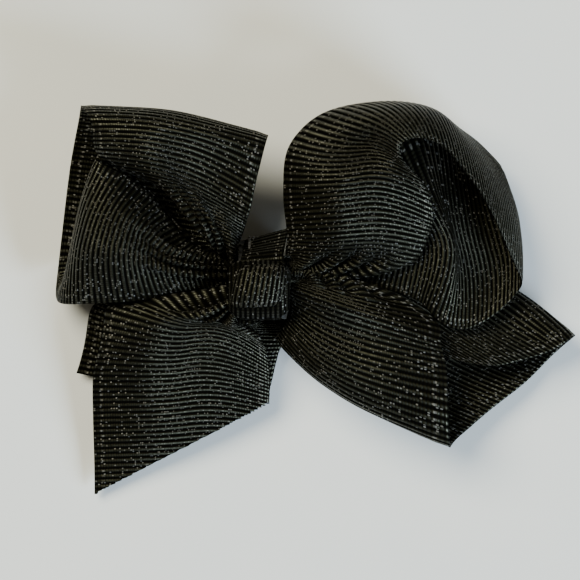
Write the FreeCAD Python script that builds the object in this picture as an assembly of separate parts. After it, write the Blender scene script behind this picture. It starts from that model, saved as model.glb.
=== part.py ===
"""Cheer hair bow: twisted loops and tails of wide ribbon, knotted to a sprung hair clip.

The frame is in millimetres with +Z up. The bow lies face up on its clip. The origin is on the
flat underside of the clip's lower jaw, straight below the knot, so the surface that the bow
lies on is z = 0. +X runs along the clip, from its toothed tip to its thumb tabs, and +Y points
to the top of the bow.
"""
import FreeCAD, Part
import math
import os

from FreeCAD import Vector

# Ribbon of the loops and tails. Its width shows in the ribs below.
RIBBON_THICKNESS = 0.6
STRAIGHT = 1
CUBIC = 3
FITTING_PASSES = 3

# Gathered middle: the core of pleats, the thread round it and the band round both.
CORE_LENGTH = 9.2
CORE_PROFILE = [(-5.0, 8.2), (8.6, 8.2), (10.4, 10.0), (10.4, 11.6), (6.4, 17.0), (-3.6, 17.4),
                (-5.0, 16.0)]
CORE_CORNER = 0.9
THREAD_RADIUS = 0.35
THREAD_TURNS = 6
THREAD_SPACING = 0.9
BAND_WIDTH = 9.0
BAND_THICKNESS = 0.7
BAND_CORNER = 0.8
BAND_PROFILE = [(-6.0, 8.0), (-5.0, 4.4), (5.0, 4.4), (11.4, 9.4), (11.4, 12.1), (7.0, 17.9), (-4.0, 18.4),
                (-6.0, 16.6)]
KNOT_LOW = Vector(-6.2, -6.4, 19.2)
KNOT_HIGH = Vector(5.6, 6.0, 23.8)
KNOT_ROUNDING = 2.1
CONTACT_GAP = 0.03

# Hair clip. Its profiles are (x, z) lines, drawn along the underside of each jaw.
JAW_THICKNESS = 0.6
UPPER_WIDTH = 9.2
UPPER_LINE = [(-27.0, 2.4), (10.5, 6.15), (19.0, 9.4)]
LOWER_WIDTH = 8.4
LOWER_LINE = [(-26.0, 0.0), (19.0, 0.0)]
LIP_LENGTH = 0.6
UPPER_LIP_BOTTOM = 1.2
LOWER_LIP_TOP = 1.9
TOOTH_COUNT = 5
TOOTH_DEPTH = 0.8
PIVOT = Vector(9.0, 0.0, 3.7)
UPPER_EAR_RADIUS = 2.0
LOWER_EAR_RADIUS = 1.9
EAR_THICKNESS = 0.6
EAR_GAP = 0.2
EAR_HALF_ROOT = 2.6
PIN_RADIUS = 0.8
PIN_CLEARANCE = 0.05
PIN_HEAD_RADIUS = 1.4
PIN_HEAD_LENGTH = 0.5
SPRING_WIRE_RADIUS = 0.25
SPRING_RADIUS = 1.45
SPRING_PITCH = 0.62
SPRING_WHOLE_TURNS = 3
SPRING_LEG_X = 15.0
LINING_THICKNESS = 0.4
LINING_WIDTH = 8.6
LINING_LINE = [(-26.6, 2.44), (10.5, 6.15), (18.6, 9.25)]
GLUE_HALF_LENGTH = 4.4
GLUE_HALF_WIDTH = 4.0

# Each ribbon is a list of its ribs, the lines straight across it, in order along its length.
# A rib has five points, from one selvage to the other.
LEFT_LOOP_RIBS = [
    [(-4.8, 8.6, 12.2), (-4.8, 7.4, 13.8), (-4.8, 6.2, 14.8), (-4.8, 5.0, 15.0), (-4.8, 4.0, 14.8)],
    [(-11.0, 11.8, 16.0), (-9.8, 10.6, 18.6), (-8.4, 9.2, 19.2), (-7.0, 7.8, 18.4), (-5.4, 6.6, 16.4)],
    [(-19.0, 19.0, 17.0), (-15.6, 17.4, 21.6), (-12.4, 15.4, 22.0), (-8.6, 13.0, 20.6), (-4.0, 10.0, 17.4)],
    [(-27.0, 24.0, 17.5), (-21.4, 22.6, 23.4), (-16.0, 20.6, 23.4), (-10.0, 17.6, 21.0), (-3.0, 13.6, 18.8)],
    [(-34.2, 28.2, 20.5), (-26.4, 27.2, 25.6), (-18.6, 25.4, 24.0), (-10.4, 22.4, 21.6), (-1.8, 17.4, 21.0)],
    [(-35.2, 32.8, 22.5), (-26.8, 32.6, 26.4), (-17.6, 31.2, 24.4), (-8.8, 28.6, 23.2), (-0.4, 24.4, 21.6)],
    [(-36.4, 36.6, 22.4), (-27.2, 36.2, 24.6), (-17.6, 34.8, 24.4), (-7.8, 32.4, 23.4), (1.0, 30.0, 21.0)],
    [(-38.0, 38.6, 18.0), (-28.0, 38.2, 19.6), (-18.2, 37.4, 20.2), (-8.2, 35.0, 19.6), (1.8, 32.4, 17.0)],
    [(-38.6, 37.0, 12.6), (-28.6, 36.0, 13.2), (-18.6, 34.8, 13.4), (-8.8, 32.8, 13.0), (1.0, 30.2, 12.4)],
    [(-40.6, 28.0, 7.6), (-31.0, 26.6, 7.0), (-21.2, 25.0, 7.0), (-11.4, 23.0, 8.0), (-1.5, 20.6, 9.5)],
    [(-42.2, 17.0, 4.6), (-32.8, 15.6, 4.0), (-23.4, 14.4, 4.2), (-14.0, 12.8, 5.6), (-4.8, 11.0, 8.4)],
    [(-43.4, 7.0, 3.6), (-34.6, 6.4, 2.8), (-26.0, 6.6, 3.4), (-17.2, 7.0, 5.6), (-8.6, 7.8, 8.6)],
    [(-44.0, 1.6, 3.6), (-37.6, 4.4, 3.6), (-31.0, 7.6, 5.6), (-24.0, 10.6, 8.0), (-17.4, 13.4, 10.4)],
    [(-44.0, -1.4, 5.4), (-39.8, 4.8, 6.0), (-35.0, 11.4, 8.0), (-29.8, 17.0, 10.0), (-24.4, 22.0, 12.0)],
    [(-43.0, -3.2, 8.6), (-41.2, 5.4, 10.6), (-39.2, 13.2, 12.8), (-37.0, 20.6, 15.2), (-34.6, 27.4, 17.4)],
    [(-39.6, -3.4, 11.0), (-39.2, 4.6, 15.8), (-37.6, 12.0, 19.2), (-35.2, 19.4, 20.4), (-31.8, 25.6, 18.4)],
    [(-34.0, -3.2, 12.0), (-34.6, 4.2, 18.2), (-33.4, 11.2, 21.4), (-30.8, 17.8, 21.0), (-27.2, 23.2, 16.4)],
    [(-27.6, -2.8, 12.6), (-28.8, 4.0, 19.0), (-28.0, 10.2, 21.6), (-26.0, 15.4, 20.2), (-22.4, 18.8, 13.8)],
    [(-20.6, -1.4, 12.4), (-22.6, 3.2, 17.8), (-22.8, 7.4, 19.6), (-21.4, 10.8, 18.0), (-18.4, 12.8, 12.4)],
    [(-12.5, 0.8, 12.2), (-14.4, 2.6, 16.4), (-15.0, 4.6, 18.0), (-14.2, 6.2, 16.4), (-12.2, 7.2, 11.6)],
    [(-4.8, 1.4, 11.8), (-4.8, 2.6, 13.6), (-4.8, 3.8, 14.2), (-4.8, 5.0, 13.6), (-4.8, 6.2, 12.0)],
]

RIGHT_LOOP_RIBS = [
    [(4.8, 6.2, 14.4), (4.8, 5.8, 14.0), (4.8, 5.4, 13.6), (4.8, 5.0, 13.2), (4.8, 4.6, 12.8)],
    [(4.9, 6.1, 14.5), (8.0, 5.0, 15.4), (12.0, 4.2, 15.8), (15.6, 3.8, 15.2), (18.6, 3.6, 13.8)],
    [(5.0, 6.0, 14.6), (10.0, 5.8, 16.8), (18.0, 6.0, 17.6), (24.8, 5.4, 17.2), (30.8, 4.2, 15.0)],
    [(5.6, 9.0, 15.4), (12.6, 8.8, 20.0), (20.8, 9.2, 21.6), (28.0, 8.8, 20.6), (34.4, 7.5, 17.0)],
    [(5.8, 12.4, 16.2), (13.0, 12.6, 22.2), (21.0, 13.2, 24.2), (29.0, 13.0, 23.2), (36.0, 11.4, 19.0)],
    [(5.2, 17.2, 17.0), (13.0, 17.6, 24.0), (21.0, 18.2, 26.0), (29.0, 17.8, 25.0), (36.8, 14.6, 21.0)],
    [(5.1, 22.4, 18.0), (13.0, 22.2, 25.4), (21.0, 22.8, 27.0), (29.0, 22.3, 27.0), (36.0, 19.4, 23.6)],
    [(5.6, 28.4, 18.0), (13.0, 26.8, 24.0), (21.0, 27.0, 25.6), (27.8, 26.6, 26.8), (33.4, 23.6, 25.6)],
    [(8.2, 33.0, 17.6), (14.2, 31.0, 21.8), (21.2, 30.2, 23.8), (26.8, 29.2, 27.0), (30.4, 26.8, 27.6)],
    [(12.4, 36.6, 17.0), (18.2, 34.6, 22.8), (23.4, 33.0, 25.8), (27.4, 31.4, 28.2), (29.6, 29.8, 28.8)],
    [(18.4, 38.8, 15.4), (21.6, 37.8, 21.8), (25.4, 36.0, 26.4), (28.8, 33.6, 28.8), (31.4, 31.2, 29.2)],
    [(26.4, 39.8, 14.6), (28.8, 39.0, 20.8), (31.2, 37.2, 25.8), (33.4, 34.4, 28.4), (34.8, 31.4, 28.8)],
    [(33.4, 39.2, 13.6), (34.9, 38.4, 19.8), (36.6, 36.0, 25.0), (38.2, 32.6, 27.4), (39.2, 29.2, 27.4)],
    [(38.2, 37.4, 12.6), (39.4, 36.4, 18.8), (40.8, 33.0, 23.4), (42.0, 29.0, 25.4), (42.8, 25.2, 25.6)],
    [(42.2, 34.6, 11.0), (43.4, 32.4, 16.8), (44.8, 28.6, 21.0), (46.0, 24.2, 23.0), (46.9, 19.8, 23.4)],
    [(46.2, 31.8, 9.8), (47.4, 28.4, 14.8), (48.6, 23.8, 18.4), (49.6, 18.8, 20.4), (50.4, 13.4, 20.8)],
    [(49.2, 29.0, 8.8), (51.0, 23.6, 12.8), (52.2, 18.2, 15.6), (53.0, 12.6, 17.2), (53.4, 7.0, 17.4)],
    [(51.6, 26.4, 7.8), (53.6, 20.2, 10.4), (54.9, 14.2, 12.2), (55.5, 8.2, 13.4), (55.6, 2.4, 13.6)],
    [(51.0, 25.6, 6.2), (54.0, 18.6, 6.8), (55.4, 12.2, 7.8), (56.0, 6.0, 9.4), (55.8, 0.2, 11.0)],
    [(47.0, 26.6, 6.0), (50.4, 18.4, 6.2), (52.6, 10.8, 7.0), (53.8, 3.8, 8.8), (53.4, -3.0, 11.4)],
    [(44.0, 31.0, 8.4), (46.6, 18.6, 7.0), (48.8, 8.8, 7.4), (50.2, 1.0, 9.0), (49.8, -6.0, 11.6)],
    [(40.6, 32.6, 11.0), (42.4, 19.4, 9.6), (44.4, 8.8, 9.6), (45.8, -0.2, 10.8), (45.6, -8.4, 12.2)],
    [(36.6, 34.0, 14.0), (38.8, 20.6, 13.0), (41.0, 10.4, 12.8), (42.4, 0.6, 12.8), (41.8, -8.8, 12.6)],
    [(31.8, 33.6, 17.8), (36.6, 20.4, 17.4), (41.0, 11.0, 16.6), (40.8, 1.6, 15.2), (38.0, -7.0, 13.0)],
    [(27.2, 28.4, 19.0), (33.4, 17.6, 18.2), (37.4, 10.4, 16.8), (37.4, 3.2, 15.2), (35.2, -3.8, 12.8)],
    [(22.4, 16.8, 16.6), (27.2, 13.6, 16.0), (30.6, 9.6, 14.8), (31.2, 4.6, 13.6), (30.0, -1.2, 12.2)],
    [(12.0, 9.6, 12.8), (14.0, 7.6, 13.4), (15.4, 5.6, 13.4), (16.0, 3.6, 13.0), (15.6, 1.6, 12.4)],
    [(4.8, 6.4, 11.2), (4.8, 5.0, 12.0), (4.8, 3.6, 12.2), (4.8, 2.2, 12.0), (4.8, 0.8, 11.4)],
]

LOWER_LOOP_RIBS = [
    [(4.8, 1.4, 15.2), (4.8, 2.0, 15.2), (4.8, 2.6, 14.8), (4.8, 3.1, 14.3), (4.8, 3.6, 13.8)],
    [(5.2, 1.6, 15.2), (8.8, 2.4, 15.8), (13.0, 2.4, 15.8), (17.4, 1.8, 15.4), (21.6, 0.8, 14.4)],
    [(6.0, 1.6, 15.0), (10.0, 0.4, 16.4), (17.0, -2.0, 17.4), (26.0, -4.4, 17.0), (37.2, -6.6, 14.6)],
    [(6.0, 0.0, 15.2), (11.6, -2.2, 17.6), (19.4, -4.8, 18.8), (28.0, -7.4, 18.4), (38.4, -10.8, 16.0)],
    [(6.2, -2.6, 14.0), (11.0, -5.6, 15.4), (18.4, -9.0, 16.8), (28.0, -11.8, 17.6), (39.4, -14.6, 16.2)],
    [(6.0, -5.4, 13.4), (10.6, -9.8, 15.8), (17.8, -13.8, 17.6), (27.6, -17.0, 18.0), (40.0, -19.6, 16.4)],
    [(5.0, -8.4, 12.4), (9.6, -13.6, 15.2), (16.8, -18.6, 17.2), (27.0, -23.0, 17.6), (40.2, -27.0, 16.2)],
    [(3.8, -11.2, 10.2), (8.8, -16.6, 12.2), (16.6, -22.4, 13.8), (27.0, -28.0, 14.2), (40.6, -33.6, 13.0)],
    [(4.6, -11.0, 7.4), (10.6, -16.4, 7.8), (18.6, -21.8, 8.0), (28.8, -27.2, 8.4), (41.6, -33.0, 9.2)],
    [(9.6, -9.8, 5.8), (16.6, -14.8, 5.6), (25.0, -20.2, 5.6), (34.6, -25.4, 6.0), (45.2, -30.0, 7.0)],
    [(17.4, -7.2, 4.4), (24.4, -12.0, 4.2), (32.2, -16.8, 4.2), (40.8, -21.4, 4.6), (50.4, -25.6, 5.6)],
    [(24.0, -2.2, 3.0), (31.8, -7.0, 2.8), (39.8, -11.8, 2.8), (48.4, -16.6, 3.4), (57.4, -20.2, 4.6)],
    [(29.6, 5.2, 2.0), (38.2, -0.4, 1.8), (46.4, -5.6, 1.8), (55.0, -10.6, 2.4), (63.0, -14.6, 3.6)],
    [(36.2, 10.0, 2.0), (44.8, 4.8, 1.8), (53.0, -0.4, 2.2), (60.8, -5.2, 3.4), (67.8, -10.4, 5.4)],
    [(35.6, 8.0, 4.4), (43.6, 4.0, 4.6), (51.4, 0.0, 5.4), (59.0, -5.0, 7.0), (66.0, -11.4, 8.4)],
    [(31.6, 3.4, 5.6), (39.6, -0.2, 5.6), (46.8, -4.6, 6.8), (53.8, -9.4, 8.0), (62.0, -13.8, 8.6)],
    [(24.0, 1.4, 9.6), (31.2, -2.0, 8.8), (38.4, -6.4, 9.0), (45.4, -11.4, 10.4), (53.0, -16.0, 10.2)],
    [(14.0, 0.2, 11.2), (17.6, -2.6, 11.8), (22.6, -6.0, 11.8), (28.6, -9.8, 11.8), (36.0, -14.0, 11.8)],
    [(4.8, -0.2, 11.6), (4.8, -1.2, 12.4), (4.8, -2.2, 12.6), (4.8, -3.2, 12.4), (4.8, -4.2, 11.6)],
]

FRONT_TAIL_RIBS = [
    [(-4.8, 0.2, 15.0), (-4.8, -1.6, 16.6), (-4.8, -3.4, 17.0), (-4.8, -5.2, 16.4), (-4.8, -7.2, 14.2)],
    [(-15.4, -1.8, 12.8), (-12.4, -4.2, 16.6), (-8.6, -5.8, 15.2), (-5.4, -7.2, 16.0), (-1.6, -9.8, 13.2)],
    [(-31.2, -3.0, 9.2), (-22.8, -5.8, 15.0), (-14.4, -8.0, 13.4), (-5.6, -8.8, 14.4), (1.2, -13.2, 10.6)],
    [(-33.4, -8.6, 9.6), (-25.0, -10.2, 13.4), (-16.0, -11.4, 12.2), (-6.2, -11.4, 13.0), (1.8, -16.2, 9.4)],
    [(-35.6, -16.6, 7.6), (-26.8, -16.8, 10.4), (-17.2, -17.0, 9.8), (-7.4, -16.8, 10.4), (2.1, -20.4, 7.4)],
    [(-36.1, -24.0, 5.4), (-26.8, -23.8, 7.6), (-17.2, -23.4, 7.4), (-7.4, -23.0, 7.6), (1.9, -25.2, 5.4)],
    [(-36.0, -33.0, 3.6), (-26.8, -32.6, 5.0), (-17.2, -32.2, 5.2), (-7.4, -31.8, 4.8), (2.0, -33.0, 3.8)],
    [(-35.9, -39.6, 2.4), (-26.8, -39.2, 3.0), (-17.2, -38.8, 3.2), (-7.4, -38.4, 3.0), (2.0, -39.2, 2.6)],
    [(-35.9, -44.6, 2.0), (-26.8, -44.2, 2.2), (-17.2, -43.8, 2.2), (-7.4, -43.4, 2.2), (2.0, -44.0, 2.2)],
]

REAR_TAIL_RIBS = [
    [(-4.8, 0.8, 9.6), (-4.8, -0.4, 9.8), (-4.8, -1.6, 9.8), (-4.8, -2.8, 9.8), (-4.8, -4.0, 9.6)],
    [(-20.0, -2.2, 8.2), (-16.4, -4.4, 8.4), (-12.4, -6.6, 8.2), (-8.4, -8.6, 7.8), (-4.2, -10.6, 7.4)],
    [(-35.8, -3.2, 5.6), (-27.0, -6.8, 6.6), (-18.0, -10.2, 6.6), (-8.6, -14.0, 6.2), (1.6, -14.8, 5.4)],
    [(-37.6, -10.8, 3.8), (-28.0, -13.8, 4.6), (-18.2, -16.6, 4.8), (-8.2, -18.8, 4.4), (2.8, -17.4, 3.8)],
    [(-39.8, -18.4, 2.0), (-30.0, -20.4, 2.6), (-20.0, -22.2, 2.8), (-10.0, -23.8, 2.6), (1.6, -24.8, 2.2)],
]

# The scissor cut across the front tail, as two (x, y) points. Everything below it is cut away.
FRONT_TAIL_CUT = [(-36.0, -44.4), (1.6, -25.2)]


def ribbon_normal(ribs, row, column):
    """Unit normal of the ribbon at one point, from the points on either side of it."""
    before = Vector(*ribs[max(row - 1, 0)][column])
    after = Vector(*ribs[min(row + 1, len(ribs) - 1)][column])
    left = Vector(*ribs[row][max(column - 1, 0)])
    right = Vector(*ribs[row][min(column + 1, len(ribs[row]) - 1)])
    return (after - before).cross(right - left).normalize()


def spline_knots(pole_count, degree):
    """Knots of a clamped spline, their repeats, and where along it each pole pulls hardest."""
    spans = pole_count - degree
    knots = [float(knot) for knot in range(spans + 1)]
    repeats = [degree + 1] + [1] * (spans - 1) + [degree + 1]
    flat = [0.0] * degree + knots + [float(spans)] * degree
    pulls = [sum(flat[pole + 1:pole + 1 + degree]) / degree for pole in range(pole_count)]
    return knots, repeats, pulls


def spline_surface(poles, u_degree):
    """A clamped spline surface, cubic across its rows of poles and of u_degree along them."""
    u_knots, u_repeats, _ = spline_knots(len(poles), u_degree)
    v_knots, v_repeats, _ = spline_knots(len(poles[0]), CUBIC)
    surface = Part.BSplineSurface()
    surface.buildFromPolesMultsKnots(
        poles, u_repeats, v_repeats, u_knots, v_knots, False, False, u_degree, CUBIC)
    return surface


def fitted_poles(points):
    """Poles of a smooth surface that passes close by a grid of points, without overshoot."""
    u_pulls = spline_knots(len(points), CUBIC)[2]
    v_pulls = spline_knots(len(points[0]), CUBIC)[2]
    poles = [list(row) for row in points]
    for _ in range(FITTING_PASSES):
        surface = spline_surface(poles, CUBIC)
        for row, u in enumerate(u_pulls):
            for column, v in enumerate(v_pulls):
                miss = points[row][column] - surface.value(u, v)
                poles[row][column] = poles[row][column] + miss
    return poles


def ribbon_poles(ribs, lift):
    """Poles of the surface by the ribs, raised by lift along the ribbon's own normal."""
    points = []
    for row, rib in enumerate(ribs):
        normals = [ribbon_normal(ribs, row, column) for column in range(len(rib))]
        points.append([Vector(*point) + normal * lift for point, normal in zip(rib, normals)])
    return fitted_poles(points)


def ribbon_solid(ribs):
    """A thin closed solid: an upper and a lower face, and a straight-sided face at each edge."""
    upper = ribbon_poles(ribs, RIBBON_THICKNESS / 2)
    lower = ribbon_poles(ribs, -RIBBON_THICKNESS / 2)
    edges = [(upper[0], lower[0]), (upper[-1], lower[-1])]
    for column in (0, -1):
        edges.append(([row[column] for row in upper], [row[column] for row in lower]))
    surfaces = [spline_surface(upper, CUBIC), spline_surface(lower, CUBIC)]
    surfaces += [spline_surface([list(top), list(bottom)], STRAIGHT) for top, bottom in edges]
    sewn = Part.makeCompound([surface.toShape() for surface in surfaces])
    sewn.sewShape()
    solid = Part.makeSolid(sewn.Shells[0])
    if solid.Volume < 0:
        solid.reverse()
    return solid


def cut_tail(solid, cut):
    """The ribbon with everything on the lower right of a straight slanting cut taken away."""
    start, end = [Vector(x, y, 0) for x, y in cut]
    along = (end - start).normalize()
    reach = (end - start).Length
    outward = Vector(along.y, -along.x, 0)
    corners = [start - along * reach, end + along * reach]
    corners += [corners[1] + outward * reach, corners[0] + outward * reach]
    waste = Part.Face(Part.makePolygon(corners + [corners[0]])).extrude(Vector(0, 0, reach))
    return solid.cut(waste)


def rounded_outline(profile, radius):
    """Closed wire at x = 0 along a (y, z) polygon, with each corner rounded to the radius."""
    corners = [Vector(0, y, z) for y, z in profile]
    edges = []
    stretches = []
    for index, corner in enumerate(corners):
        back = (corners[index - 1] - corner).normalize()
        ahead = (corners[(index + 1) % len(corners)] - corner).normalize()
        half_angle = back.getAngle(ahead) / 2
        setback = radius / math.tan(half_angle)
        centre = corner + (back + ahead).normalize() * (radius / math.sin(half_angle))
        middle = centre + (corner - centre).normalize() * radius
        start = corner + back * setback
        end = corner + ahead * setback
        edges.append(Part.Arc(start, middle, end).toShape())
        stretches.append((start, end))
    for index, (start, _) in enumerate(stretches):
        edges.append(Part.LineSegment(stretches[index - 1][1], start).toShape())
    return Part.Wire(Part.__sortEdges__(edges))


def bar(outline, length):
    """A straight bar along X, centred on x = 0, with the outline as its section."""
    solid = Part.Face(outline).extrude(Vector(length, 0, 0))
    solid.translate(Vector(-length / 2, 0, 0))
    return solid


def gathered_core():
    """The pleats of every loop and tail, pressed together where the thread draws them in."""
    return bar(rounded_outline(CORE_PROFILE, CORE_CORNER), CORE_LENGTH)


def cinch_thread():
    """Turns of thread side by side round the core."""
    core = Part.Face(rounded_outline(CORE_PROFILE, CORE_CORNER))
    route = core.makeOffset2D(THREAD_RADIUS + CONTACT_GAP).OuterWire
    start = route.Edges[0].valueAt(route.Edges[0].FirstParameter)
    along = route.Edges[0].tangentAt(route.Edges[0].FirstParameter)
    section = Part.Wire(Part.makeCircle(THREAD_RADIUS, start, along))
    turn = route.makePipeShell([section], True, False)
    first = -THREAD_SPACING * (THREAD_TURNS - 1) / 2
    turns = []
    for index in range(THREAD_TURNS):
        turns.append(turn.translated(Vector(first + index * THREAD_SPACING, 0, 0)))
    return Part.makeCompound(turns)


def centre_band():
    """The narrow ribbon round the core and the clip's upper jaw."""
    inner = rounded_outline(BAND_PROFILE, BAND_CORNER)
    outer = Part.Face(inner).makeOffset2D(BAND_THICKNESS).OuterWire
    return bar(outer, BAND_WIDTH).cut(bar(inner, BAND_WIDTH))


def centre_knot():
    """The knot in the narrow ribbon, a soft square pillow on the front of the band."""
    size = KNOT_HIGH - KNOT_LOW
    pillow = Part.makeBox(size.x, size.y, size.z, KNOT_LOW)
    return pillow.makeFillet(KNOT_ROUNDING, pillow.Edges)


def strip(line, thickness, width):
    """A bent metal or ribbon strip over an (x, z) line, centred on y = 0."""
    lower = [Vector(x, -width / 2, z) for x, z in line]
    upper = [point + Vector(0, 0, thickness) for point in reversed(lower)]
    outline = Part.makePolygon(lower + upper + [lower[0]])
    return Part.Face(outline).extrude(Vector(0, width, 0))


def ear(root_z, centre_z, radius, inner_y):
    """A pair of ears, each a taper from the jaw at root_z to a disc round the hinge pin."""
    pair = []
    for side in (-1, 1):
        start_y = min(side * inner_y, side * (inner_y + EAR_THICKNESS))
        disc = Part.makeCylinder(
            radius, EAR_THICKNESS, Vector(PIVOT.x, start_y, centre_z), Vector(0, 1, 0))
        taper = Part.makePolygon([
            Vector(PIVOT.x - EAR_HALF_ROOT, start_y, root_z),
            Vector(PIVOT.x + EAR_HALF_ROOT, start_y, root_z),
            Vector(PIVOT.x + radius, start_y, centre_z),
            Vector(PIVOT.x - radius, start_y, centre_z),
            Vector(PIVOT.x - EAR_HALF_ROOT, start_y, root_z),
        ])
        pair.append(disc.fuse(Part.Face(taper).extrude(Vector(0, EAR_THICKNESS, 0))))
    return pair[0].fuse(pair[1])


def lip(x, bottom, top, width, teeth_up):
    """The bent end of a jaw, with V notches between its teeth."""
    solid = Part.makeBox(LIP_LENGTH, width, top - bottom, Vector(x, -width / 2, bottom))
    pitch = width / TOOTH_COUNT
    edge = top if teeth_up else bottom
    depth = -TOOTH_DEPTH if teeth_up else TOOTH_DEPTH
    for index in range(TOOTH_COUNT + 1):
        middle = -width / 2 + index * pitch
        notch = Part.makePolygon([
            Vector(x, middle - pitch / 2, edge),
            Vector(x, middle, edge + depth),
            Vector(x, middle + pitch / 2, edge),
            Vector(x, middle - pitch / 2, edge),
        ])
        solid = solid.cut(Part.Face(notch).extrude(Vector(LIP_LENGTH, 0, 0)))
    return solid


def pin_hole(radius):
    """Cutter for the hinge pin's hole through both ears of a jaw."""
    return Part.makeCylinder(
        radius, 2 * UPPER_WIDTH, Vector(PIVOT.x, -UPPER_WIDTH, PIVOT.z), Vector(0, 1, 0))


def upper_jaw():
    """The jaw that carries the bow: strip, toothed lip, ears and raised thumb tab."""
    plate = strip(UPPER_LINE, JAW_THICKNESS, UPPER_WIDTH)
    tip_x, tip_z = UPPER_LINE[0]
    teeth = lip(tip_x, UPPER_LIP_BOTTOM, tip_z + JAW_THICKNESS / 2, UPPER_WIDTH, False)
    root_z = line_height(UPPER_LINE, PIVOT.x)
    ears = ear(root_z, PIVOT.z, UPPER_EAR_RADIUS, UPPER_WIDTH / 2 - EAR_THICKNESS)
    return plate.fuse([teeth, ears]).cut(pin_hole(PIN_RADIUS)).removeSplitter()


def lower_jaw():
    """The jaw that swings: flat strip, toothed lip, ears inside the upper ears, thumb tab."""
    plate = strip(LOWER_LINE, JAW_THICKNESS, LOWER_WIDTH)
    tip_x, tip_z = LOWER_LINE[0]
    teeth = lip(tip_x, tip_z + JAW_THICKNESS / 2, LOWER_LIP_TOP, LOWER_WIDTH, True)
    inner_y = UPPER_WIDTH / 2 - 2 * EAR_THICKNESS - EAR_GAP
    ears = ear(tip_z + JAW_THICKNESS / 2, PIVOT.z, LOWER_EAR_RADIUS, inner_y)
    return plate.fuse([teeth, ears]).cut(pin_hole(PIN_RADIUS + PIN_CLEARANCE)).removeSplitter()


def hinge_pin():
    """A plain pin with a flat head outside each upper ear."""
    reach = UPPER_WIDTH / 2
    along = Vector(0, 1, 0)
    pin = Part.makeCylinder(PIN_RADIUS, 2 * reach, Vector(PIVOT.x, -reach, PIVOT.z), along)
    for start_y in (-reach - PIN_HEAD_LENGTH, reach):
        head = Part.makeCylinder(
            PIN_HEAD_RADIUS, PIN_HEAD_LENGTH, Vector(PIVOT.x, start_y, PIVOT.z), along)
        pin = pin.fuse(head)
    return pin.removeSplitter()


def line_height(line, x):
    """Height of an (x, z) line at x."""
    for (x0, z0), (x1, z1) in zip(line, line[1:]):
        if x0 <= x <= x1:
            return z0 + (z1 - z0) * (x - x0) / (x1 - x0)
    raise ValueError("x is off the line")


def spring():
    """Torsion spring round the pin, with a leg under the upper tab and one on the lower tab."""
    rest = SPRING_WIRE_RADIUS + CONTACT_GAP
    (bend_x, bend_z), (tab_x, tab_z) = UPPER_LINE[1:]
    tab_slope = math.atan2(tab_z - bend_z, tab_x - bend_x)
    leg_x = SPRING_LEG_X - PIVOT.x
    low_z = LOWER_LINE[0][1] + JAW_THICKNESS + rest - PIVOT.z
    high_z = line_height(UPPER_LINE, SPRING_LEG_X) - rest / math.cos(tab_slope) - PIVOT.z
    low_reach = math.hypot(leg_x, low_z)
    high_reach = math.hypot(leg_x, high_z)
    low_angle = math.acos(SPRING_RADIUS / low_reach) - math.atan2(low_z, leg_x)
    high_angle = -math.acos(SPRING_RADIUS / high_reach) - math.atan2(high_z, leg_x)
    sweep = high_angle - low_angle + 2 * math.pi * (SPRING_WHOLE_TURNS + 1)
    rise = SPRING_PITCH / (2 * math.pi)

    # The wire is drawn round +Z, from its low leg to its high leg, then laid along +Y.
    coil_end = Vector(SPRING_RADIUS * math.cos(sweep), SPRING_RADIUS * math.sin(sweep), rise * sweep)
    end_along = Vector(-SPRING_RADIUS * math.sin(sweep), SPRING_RADIUS * math.cos(sweep), rise)
    coil_start = Vector(SPRING_RADIUS, 0, 0)
    start_along = Vector(0, SPRING_RADIUS, rise)
    low_tip = coil_start - start_along * (math.sqrt(low_reach ** 2 - SPRING_RADIUS ** 2) / SPRING_RADIUS)
    high_tip = coil_end + end_along * (math.sqrt(high_reach ** 2 - SPRING_RADIUS ** 2) / SPRING_RADIUS)
    helix = Part.makeHelix(SPRING_PITCH, rise * sweep, SPRING_RADIUS)
    low_leg = Part.LineSegment(low_tip, coil_start).toShape()
    high_leg = Part.LineSegment(coil_end, high_tip).toShape()
    route = Part.Wire([low_leg] + helix.Edges + [high_leg])
    section = Part.Wire(Part.makeCircle(SPRING_WIRE_RADIUS, low_tip, start_along))
    wire = route.makePipeShell([section], True, False)
    wire.rotate(Vector(0, 0, 0), Vector(0, 0, 1), math.degrees(low_angle))
    wire.rotate(Vector(0, 0, 0), Vector(1, 0, 0), -90)
    wire.translate(Vector(PIVOT.x, -rise * sweep / 2, PIVOT.z))
    print("spring wire volume over section times length:",
          round(wire.Volume / (math.pi * SPRING_WIRE_RADIUS ** 2 * route.Length), 3))
    return wire


def clip_lining():
    """Narrow ribbon glued along the top of the upper jaw."""
    line = [(x, z + JAW_THICKNESS + CONTACT_GAP) for x, z in LINING_LINE]
    return strip(line, LINING_THICKNESS, LINING_WIDTH)


def glue_pad():
    """The set glue between the lining and the thread under the core."""
    floor = JAW_THICKNESS + LINING_THICKNESS + 2 * CONTACT_GAP
    top = CORE_PROFILE[0][1] - 2 * THREAD_RADIUS - 2 * CONTACT_GAP
    outline = []
    for x in (-GLUE_HALF_LENGTH, GLUE_HALF_LENGTH):
        outline.append(Vector(x, -GLUE_HALF_WIDTH, line_height(UPPER_LINE, x) + floor))
    for x in (GLUE_HALF_LENGTH, -GLUE_HALF_LENGTH):
        outline.append(Vector(x, -GLUE_HALF_WIDTH, top))
    face = Part.Face(Part.makePolygon(outline + [outline[0]]))
    return face.extrude(Vector(0, 2 * GLUE_HALF_WIDTH, 0))


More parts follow.
